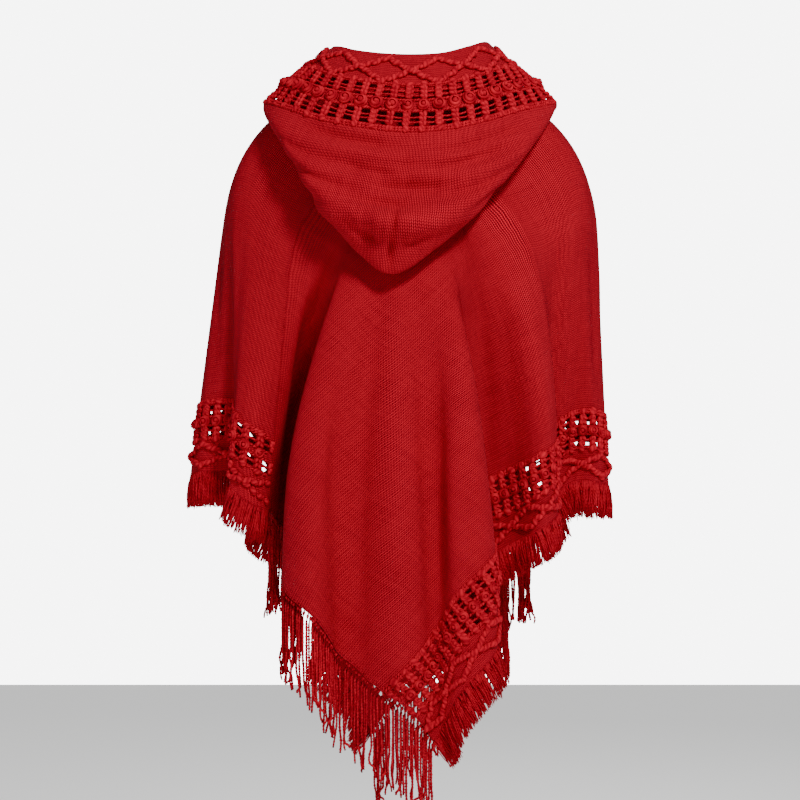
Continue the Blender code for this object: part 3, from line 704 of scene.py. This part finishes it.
def makeFloat(length, thickness, arch):
    bpy.ops.object.select_all(action="DESELECT")
    bpy.ops.mesh.primitive_cylinder_add(
        vertices=6, radius=thickness / 2, depth=length, end_fill_type="NOTHING",
        rotation=(0, math.pi / 2, 0))
    tube = bpy.context.object
    bpy.ops.object.transform_apply(rotation=True)
    bpy.ops.object.mode_set(mode="EDIT")
    for place in (-0.25, 0.0, 0.25):
        bpy.ops.mesh.select_all(action="SELECT")
        bpy.ops.mesh.bisect(plane_co=(place * length, 0, 0), plane_no=(1, 0, 0))
    bpy.ops.object.mode_set(mode="OBJECT")
    for vertex in tube.data.vertices:
        vertex.co.y += arch * math.cos(math.pi * vertex.co.x / length)
    return shapeOf(tube, length)


bobbleCoil = {
    "turns": 2, "steps": 12, "heightPerPitch": 2.6, "taper": 0.60, "roundness": 1.6,
    "coreWidth": 0.48, "coreHeight": 1.02,
}


# Yarn wound up a round core, in turns that draw in towards its top.
def makeBobble(radius, height, yarnWidth):
    bpy.ops.object.select_all(action="DESELECT")
    bpy.ops.mesh.primitive_circle_add(
        vertices=6, radius=yarnWidth / 2, location=(radius - yarnWidth / 2, 0, 0),
        rotation=(math.pi / 2, 0, 0))
    coil = bpy.context.object
    bpy.ops.object.transform_apply(location=True, rotation=True)
    winding = coil.modifiers.new("winding", "SCREW")
    winding.angle, winding.screw_offset = math.radians(360), height / bobbleCoil["heightPerPitch"]
    winding.steps = winding.render_steps = bobbleCoil["steps"]
    winding.iterations = bobbleCoil["turns"]
    winding.use_merge_vertices = False
    bpy.ops.object.modifier_apply(modifier=winding.name)
    for vertex in coil.data.vertices:
        share = max(vertex.co.z / height, 0)
        shrink = 1 - bobbleCoil["taper"] * share ** bobbleCoil["roundness"]
        vertex.co.x *= shrink
        vertex.co.y *= shrink
    bpy.ops.mesh.primitive_uv_sphere_add(segments=10, ring_count=6, radius=1)
    core = bpy.context.object
    width = radius * bobbleCoil["coreWidth"]
    for vertex in core.data.vertices:
        x, y, z = vertex.co
        vertex.co = (x * width, y * width, z * height * bobbleCoil["coreHeight"])
    choose(core)
    coil.select_set(True)
    bpy.ops.object.join()
    return shapeOf(core, 2 * math.pi * radius)


# Sets shapes down by frames, each an origin and three axes, with a turn in the cloth and a scale.
class Trim:
    def __init__(self):
        self.points, self.faces, self.flat, self.count = [], [], [], 0

    def set(self, shape, frames, turn, scale=1.0):
        points, faces, flat = shape
        origin, along, away, out = frames
        turn = np.broadcast_to(turn, len(origin))[:, None]
        x = along * np.cos(turn) + away * np.sin(turn)
        y = away * np.cos(turn) - along * np.sin(turn)
        local = points * np.broadcast_to(scale, len(origin))[:, None, None]
        placed = origin[:, None] + local[..., :1] * x[:, None] + local[..., 1:2] * y[:, None]
        placed = placed + local[..., 2:] * out[:, None]
        for k, copy in enumerate(placed):
            self.points.append(copy)
            self.faces += [[corner + self.count for corner in face] for face in faces]
            self.flat.append(flat + (0.37 * k, 0.013 * k))  # each copy on its own stretch of yarn
            self.count += len(copy)

    def piece(self, name):
        uvs = np.concatenate(self.flat)
        made = newPiece(name, np.concatenate(self.points), self.faces, "yarn", uvs, spun)
        made.data.shade_smooth()
        return made


yarn = {
    "link": makeLump(0.0120, 0.0078, 0.0064), "stitch": makeLump(0.0094, 0.0064, 0.0056, 6, 5),
    "knob": makeLump(0.0112, 0.0088, 0.0062), "ridge": makeLump(0.0062, 0.0036, 0.0030, 6, 4),
    "float": makeFloat(0.0104, 0.0030, 0.0003), "faceFloat": makeFloat(0.0136, 0.0026, 0.0008),
    "bobble": makeBobble(0.0074, 0.0068, 0.0030), "faceBobble": makeBobble(0.0092, 0.0080, 0.0036),
    "linkStep": 0.0080, "ridgeStep": 0.0046, "postRow": 0.0066,
}


def lifted(frames, rise):
    origin, along, away, out = frames
    return origin + out * np.reshape(rise, (-1, 1)), along, away, out


# How the yarn lies: rises and sinks from the cloth, rows' places beside the gaps, turns in
# radians, and how much sizes and turns vary.
trimming = {
    "endInset": 0.003, "fineStep": 0.0002, "crossingWidth": 0.5, "chainTurn": 0.42,
    "chainTurnSpread": 0.12, "chainRise": 0.0016, "crossingRise": 0.0026, "chainSpread": 0.06,
    "floatSink": 0.0014, "floatDrift": 0.0006, "floatTurn": 0.07,
    "postHalf": 0.0020, "postInset": 0.002, "postRise": 0.0008, "postTurn": 0.5,
    "postTurnSpread": 0.12, "postSpread": 0.07,
    "knobRows": (0.0035, 0.0040), "knobDrift": 0.0005, "knobRise": 0.0008, "knobSpread": 0.08,
    "ridgeRows": (0.0030, 0.0018, 0.0062), "ridgeTurn": math.pi / 2 + 0.4, "ridgeRise": 0.0006,
    "ridgeSpread": 0.10, "bobbleRise": 0.0012, "bobbleSpread": 0.05,
}


# Places of a zigzag chain's links, a step of yarn apart, with the way each one points.
def zigzag(band, low, high, side):
    bottom, top = band["diamonds"]
    inset = trimming["endInset"]
    fine = np.arange(low + inset, high - inset, trimming["fineStep"])
    share = np.abs(fine) / band["pitch"] % 4
    b = (bottom + top) / 2 + side * (2 - np.abs(share - 2)) / 4 * (top - bottom)
    da, db = np.gradient(fine) * band["stretch"], np.gradient(b)
    run = np.cumsum(np.hypot(da, db))
    at = np.arange(run[0], run[-1], yarn["linkStep"])
    crossing = np.exp(-((np.minimum(share, 4 - share) / trimming["crossingWidth"]) ** 2))
    a, b, da, db, crossing = (np.interp(at, run, values) for values in (fine, b, da, db, crossing))
    return a, b, np.arctan2(db, da) - math.pi / 2, crossing


def trimBand(name, cloth, band, low, high, kinds, floatsPerGap, usable):
    trim = Trim()
    random = np.random.default_rng(7)
    pitch, stretch = band["pitch"], band["stretch"]
    first, last = low * pitch, high * pitch
    (near, far), (nearTwo, farTwo) = band["spans"]

    # floats across the gaps
    middles = (np.arange(low, high) + 0.5) * pitch
    middles = middles[np.abs(middles) < usable] if usable else middles
    for start, end in band["spans"]:
        for k in range(floatsPerGap):
            b = start + (end - start) * (k + 1) / (floatsPerGap + 1)
            drift = random.normal(0, trimming["floatDrift"], len(middles))
            turn = random.normal(0, trimming["floatTurn"], len(middles))
            frames = lifted(cloth.frames(middles, b + drift), -trimming["floatSink"])
            trim.set(kinds["float"], frames, turn)

    # posts of two slanted stitches side by side between the gaps
    posts = np.arange(low, high + 1) * pitch
    for start, end in band["spans"]:
        rows = round((end - start) / yarn["postRow"])
        for k in range(rows):
            b = start + (end - start) * (k + 0.5) / rows
            for side in (-1, 1):
                a = posts + side * trimming["postHalf"] / stretch
                a = np.clip(a, first + trimming["postInset"], last - trimming["postInset"])
                size = random.normal(1.0, trimming["postSpread"], len(a))
                turn = random.normal(0, trimming["postTurnSpread"], len(a))
                turn = turn + side * trimming["postTurn"]
                frames = lifted(cloth.frames(a, b), trimming["postRise"])
                trim.set(yarn["stitch"], frames, turn, size)

    # knobs where the posts end, and ridges of small stitches beside them
    nearKnobs, farKnobs = trimming["knobRows"]
    for b in (near - nearKnobs, farTwo + farKnobs):
        a = posts[1:-1] + random.normal(0, trimming["knobDrift"], len(posts) - 2)
        size = random.normal(1.0, trimming["knobSpread"], len(a))
        turn = random.uniform(0, math.pi, len(a))
        trim.set(yarn["knob"], lifted(cloth.frames(a, b), trimming["knobRise"]), turn, size)
    outer, inner, upper = trimming["ridgeRows"]
    for b in (near - outer, far + inner, nearTwo - inner, farTwo + outer, farTwo + upper):
        step = yarn["ridgeStep"] / stretch
        a = np.arange(first + trimming["endInset"], last - trimming["endInset"], step)
        size = random.normal(1.0, trimming["ridgeSpread"], len(a))
        frames = lifted(cloth.frames(a, b), trimming["ridgeRise"])
        trim.set(yarn["ridge"], frames, trimming["ridgeTurn"], size)

    # coiled bobbles on the posts
    turn = random.uniform(0, 2 * math.pi, len(posts) - 2)
    size = random.normal(1.0, trimming["bobbleSpread"], len(turn))
    frames = lifted(cloth.frames(posts[1:-1], band["bobbleAt"]), trimming["bobbleRise"])
    trim.set(kinds["bobble"], frames, turn, size)

    # two crossing chains, one of them over the other
    for side in (-1, 1):
        a, b, turn, crossing = zigzag(band, first, last, side)
        wobble = np.where(np.arange(len(a)) % 2, trimming["chainTurn"], -trimming["chainTurn"])
        wobble = wobble + random.normal(0, trimming["chainTurnSpread"], len(a))
        rise = trimming["chainRise"] + (trimming["crossingRise"] * crossing if side > 0 else 0)
        size = random.normal(1.0, trimming["chainSpread"], len(a))
        trim.set(yarn["link"], lifted(cloth.frames(a, b), rise), turn + wobble, size)
    return trim.piece(name)


hemKinds = {"float": yarn["float"], "bobble": yarn["bobble"]}
faceKinds = {"float": yarn["faceFloat"], "bobble": yarn["faceBobble"]}
bands = {
    side: trimBand(f"hemBand{side}", cloth, hemBand, 0, hemBand["count"], hemKinds, 1, None)
    for side, cloth in panelCloths.items()
}
half = faceBand["count"]
faceTrim = trimBand("faceBand", hoodGrid, faceBand, -half, half, faceKinds, 2, hoodUsable)
print("bands trimmed")


# Strands: a ring of points swept along each path, turning as it goes. The lobes are the ring's
# reach at each of its points, as a share of the radius.
def strandPiece(name, paths, radii, lobes, turnsPerMetre):
    count, steps = paths.shape[:2]
    ring = len(lobes)
    tangent = unit(np.gradient(paths, axis=1))
    side = unit(np.cross(tangent, (0.31, -0.92, 0.23)))  # a way that no strand runs
    other = np.cross(tangent, side)
    walked = np.cumsum(np.linalg.norm(np.diff(paths, axis=1), axis=2), axis=1)
    length = np.concatenate([np.zeros((count, 1)), walked], axis=1)[..., None]
    around = np.arange(ring) / ring
    angle = (around + length * turnsPerMetre) * 2 * math.pi
    reach = radii[..., None] * np.array(lobes)
    x, y = (reach * np.cos(angle))[..., None], (reach * np.sin(angle))[..., None]
    points = paths[:, :, None] + x * side[:, :, None] + y * other[:, :, None]

    strand, step, corner = np.meshgrid(
        np.arange(count), np.arange(steps - 1), np.arange(ring), indexing="ij")
    first = (strand * steps + step) * ring
    following = first + (corner + 1) % ring
    quads = np.stack([first + corner, following, following + ring, first + ring + corner], -1)
    faces = quads.reshape(-1, 4).tolist()
    for start in range(0, count * steps * ring, steps * ring):
        end = start + (steps - 1) * ring
        faces.append(list(range(start, start + ring))[::-1])
        faces.append(list(range(end, end + ring)))

    shift = np.arange(count)[:, None, None] * 0.013  # each strand on its own stretch of yarn
    flat = np.stack([around + 0 * angle, length + 0 * angle + shift], -1).reshape(-1, 2)
    corners = np.array([corner for face in faces for corner in face])
    piece = newPiece(name, points.reshape(-1, 3), faces, "yarn", flat[corners], spun)
    piece.data.shade_smooth()
    return piece


longFringe = {
    "count": 108, "length": 0.110, "lengthSpread": 0.03, "radius": 0.00180, "radiusSpread": 0.06,
    "steps": 31, "lobes": (1, 0.94, 0.82, 0.94, 1, 0.94, 0.82, 0.94), "turnsPerMetre": 95,
    "placeSpread": 0.25, "rootIn": 0.0030, "rootSink": 0.0008, "overEdge": 0.0065, "edgeShare": 15,
    "looseFrom": 0.35, "waves": (0.6, 1.5, 3.6), "wavePower": 0.6, "sway": (0.0017, 0.0022),
    "hooked": 0.3, "hookFrom": 0.86, "hookSide": 0.005, "hookRise": 0.007,
    "swell": 0.12, "swellWave": 60, "tip": 0.85,
}


def longFringePiece(name, cloth, seed):
    random = np.random.default_rng(seed)
    count, spread = longFringe["count"], longFringe["placeSpread"]
    b = (np.arange(count) + 0.5 + random.uniform(-spread, spread, count)) / count * cut["width"]
    root, along, away, out = cloth.frames(longFringe["rootIn"] + 0 * b, b)
    length = longFringe["length"] * random.normal(1.0, longFringe["lengthSpread"], count)
    s = np.linspace(0, 1, longFringe["steps"])[None, :, None]
    down = np.array([0, 0, -1.0])
    lateral = unit(away - down * (away @ down)[:, None])
    face = np.cross(lateral, down)
    overEdge = along[:, None] * longFringe["overEdge"] * np.minimum(s * longFringe["edgeShare"], 1)
    path = root[:, None] - out[:, None] * longFringe["rootSink"] - overEdge
    path = path + down * (length[:, None, None] * s)

    # slow and quick waves, more of them towards the loose end
    loose = smooth((s - longFringe["looseFrom"]) / (1 - longFringe["looseFrom"]))
    for direction, size in zip((lateral, face), longFringe["sway"]):
        for waves in longFringe["waves"]:
            phase = random.uniform(0, 2 * math.pi, count)[:, None, None]
            reach = random.normal(0, size, count)[:, None, None] / waves ** longFringe["wavePower"]
            wave = np.sin(s * waves * 2 * math.pi + phase)
            path = path + direction[:, None] * reach * loose * wave

    # some ends curl up to one side
    hooked = (random.random(count) < longFringe["hooked"])[:, None, None]
    curl = smooth((s - longFringe["hookFrom"]) / (1 - longFringe["hookFrom"])) * hooked
    way = lateral[:, None] * random.choice([-1, 1], count)[:, None, None]
    path = path + curl * (way * longFringe["hookSide"] - down * longFringe["hookRise"])

    swell = 1 + longFringe["swell"] * np.sin(s[..., 0] * longFringe["swellWave"])
    thickness = random.normal(1, longFringe["radiusSpread"], count)[:, None]
    radius = longFringe["radius"] * swell * thickness
    radius[:, -2:] *= longFringe["tip"]
    return strandPiece(name, path, radius, longFringe["lobes"], longFringe["turnsPerMetre"])


shortFringe = {
    "count": 2600, "length": 0.038, "lengthMean": 0.98, "lengthSpread": 0.04, "steps": 4,
    "radius": 0.00090, "taper": 0.45, "radiusSpread": 0.1, "lobes": (1, 1, 1), "turnsPerMetre": 60,
    "rootIn": 0.0008, "rootSink": (0.0002, 0.0018), "lock": 0.0062, "gather": 0.08,
    "lockSplay": 0.04, "splaySpread": 0.055, "tilt": 0.06, "lockTilt": 0.03, "tiltSpread": 0.04,
    "away": 0.86, "fall": 0.42, "sag": 0.004, "bow": 0.0016,
}


# Fine strands that gather into locks, each lock leaning its own way.
def shortFringePiece(name, cloth, seed):
    random = np.random.default_rng(seed)
    count = shortFringe["count"]
    a = (np.arange(count) + random.uniform(0, 1, count)) / count * cut["length"]
    root, along, away, out = cloth.frames(a, shortFringe["rootIn"] + 0 * a)
    s = np.linspace(0, 1, shortFringe["steps"])[None, :, None]
    lock, inLock = np.divmod(a / shortFringe["lock"], 1)
    gather = (0.5 - inLock) * shortFringe["gather"] + np.sin(lock * 2.3) * shortFringe["lockSplay"]
    splay = random.normal(0, shortFringe["splaySpread"], count) + gather
    tilt = random.normal(0, shortFringe["tiltSpread"], count) + shortFringe["tilt"]
    tilt = tilt + np.sin(lock * 4.1) * shortFringe["lockTilt"]
    down = np.array([0, 0, -1.0])
    flow = -away * shortFringe["away"] + along * splay[:, None] + out * tilt[:, None]
    flow = unit(flow + down * shortFringe["fall"])
    length = random.normal(shortFringe["lengthMean"], shortFringe["lengthSpread"], count)
    length = shortFringe["length"] * length[:, None, None]
    root = root - out * random.uniform(*shortFringe["rootSink"], count)[:, None]
    path = root[:, None] + flow[:, None] * length * s + down * shortFringe["sag"] * s**2
    bow = random.normal(0, shortFringe["bow"], (count, 1, 1))
    path = path + (along[:, None] * bow + out[:, None] * bow[::-1]) * np.sin(s * math.pi)
    radius = shortFringe["radius"] * (1.0 - shortFringe["taper"] * s[..., 0] ** 2)
    radius = radius * random.normal(1, shortFringe["radiusSpread"], count)[:, None]
    return strandPiece(name, path, radius, shortFringe["lobes"], shortFringe["turnsPerMetre"])


longFringes = {
    "Back": longFringePiece("longFringeBack", panelCloths["Right"], 3),
    "Front": longFringePiece("longFringeFront", panelCloths["Left"], 5),
}
shortFringes = {
    side: shortFringePiece(f"shortFringe{side}", cloth, 11) for side, cloth in panelCloths.items()
}
print("fringes hung")

longOf = {"Right": "Back", "Left": "Front"}
for side, piece in panels.items():
    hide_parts(f"panel_{side.lower()}")
    going = [bands[side], shortFringes[side], longFringes[longOf[side]]]
    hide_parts(f"fringe_long_{longOf[side].lower()}")
    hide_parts(f"fringe_short_{side.lower()}")
    for part in going:
        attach(part, "root")
    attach(piece, "root")
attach(hoodShell, "root")
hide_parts("hood_right", "hood_left")
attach(faceTrim, "root")

view = {
    "distance": 2.6, "x": -0.013, "z": -0.4095, "millimetresPerPixel": 1.30, "pixels": 800,
    "sensor": 36,
}
frameWidth = view["pixels"] * view["millimetresPerPixel"] / 1000
camera = bpy.data.objects.new("camera", bpy.data.cameras.new("camera"))
bpy.context.scene.collection.objects.link(camera)
camera.data.sensor_width = view["sensor"]
camera.data.lens = view["sensor"] * view["distance"] / frameWidth
camera.location = (view["x"], -view["distance"], view["z"])
camera.rotation_euler = (math.pi / 2, 0, 0)
bpy.context.scene.camera = camera

# Each lamp's place, what it points at, its size and its power.
studio = {
    "floorZ": -1.42, "size": 9.0, "light": 0.28, "backdrop": 7.0,
    "paper": {
        "Base Color": (0.90, 0.90, 0.89, 1), "Roughness": 0.9,
        "Emission Color": (1, 1, 1, 1), "Emission Strength": 0.5,
    },
    "lamps": {
        "key": ((0.85, -1.95, 1.35), (0, 0, -0.40), 0.45, 63),
        "fill": ((-1.4, -2.2, -0.1), (0, 0, -0.5), 1.8, 5),
        "front": ((0.4, 2.4, 0.9), (0, 0, -0.5), 1.8, 26),
    },
}


def makeStage():
    bpy.ops.object.select_all(action="DESELECT")
    bpy.ops.mesh.primitive_plane_add(size=studio["size"], location=(0, 0, studio["floorZ"]))
    floor = bpy.context.object
    floor.name = "floor"
    bpy.ops.object.transform_apply(location=True, rotation=True, scale=True)
    floor.data.materials.append(newFinish("studioPaper", studio["paper"])[0])


def addLamp(name, place, target, size, power):
    lamp = bpy.data.objects.new(name, bpy.data.lights.new(name, "AREA"))
    bpy.context.scene.collection.objects.link(lamp)
    lamp.data.shape, lamp.data.size, lamp.data.energy = "DISK", size, power
    lamp.location = place
    aim = np.array(target) - np.array(place)
    across = math.hypot(aim[0], aim[1])
    heading = math.atan2(aim[1], aim[0]) - math.pi / 2
    lamp.rotation_euler = (math.atan2(across, -aim[2]), 0, heading)


# The backdrop lights the cloth softly, and the camera sees it white behind the cloth.
def makeWorld():
    world = bpy.data.worlds.new("studio")
    world.use_nodes = True
    tree = world.node_tree
    paper = tree.nodes["Background"]
    paper.inputs["Color"].default_value = (1, 1, 1, 1)
    seen = Wire(tree, tree.nodes.new("ShaderNodeLightPath").outputs["Is Camera Ray"])
    strength = seen * (studio["backdrop"] - studio["light"]) + studio["light"]
    tree.links.new(strength.socket, paper.inputs["Strength"])
    bpy.context.scene.world = world


makeStage()
for lampName, settings in studio["lamps"].items():
    addLamp(lampName, *settings)
makeWorld()
print("studio lit")
